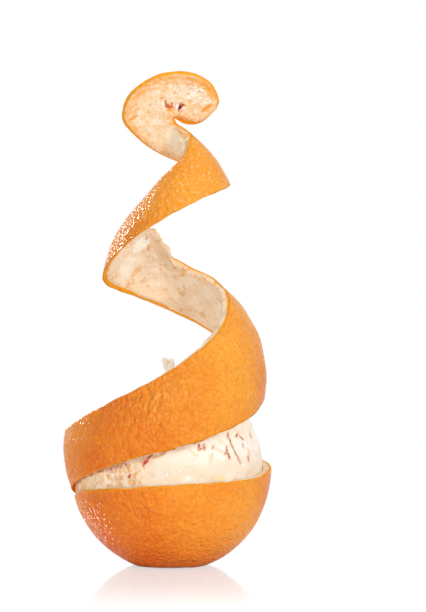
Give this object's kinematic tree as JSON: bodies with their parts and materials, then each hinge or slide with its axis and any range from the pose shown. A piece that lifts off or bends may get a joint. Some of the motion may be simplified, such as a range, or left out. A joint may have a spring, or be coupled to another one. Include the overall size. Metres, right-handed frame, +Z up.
{
  "type": "spiral orange peel with its fruit",
  "caption": "Orange peeled in one spiral: the lower half of the fruit still sits in the peel, and the rest of the peel stands above it as a coil ending in the stem-end piece.",
  "frame": {"origin": "middle of the small flat spot the orange stands on, on its axis", "axes": "+Z up along the coil; -Y is the side the picture is taken from, so +X is to its right"},
  "size_m": [0.0853, 0.084, 0.2026],
  "materials": {
    "peel": "pebbled orange skin outside, pale matt pith inside",
    "fruit": "moist, fibrous white pith over the segments"
  },
  "bodies": {
    "root": {"peel": "peel", "fruit": "fruit"}
  },
  "joints": []
}
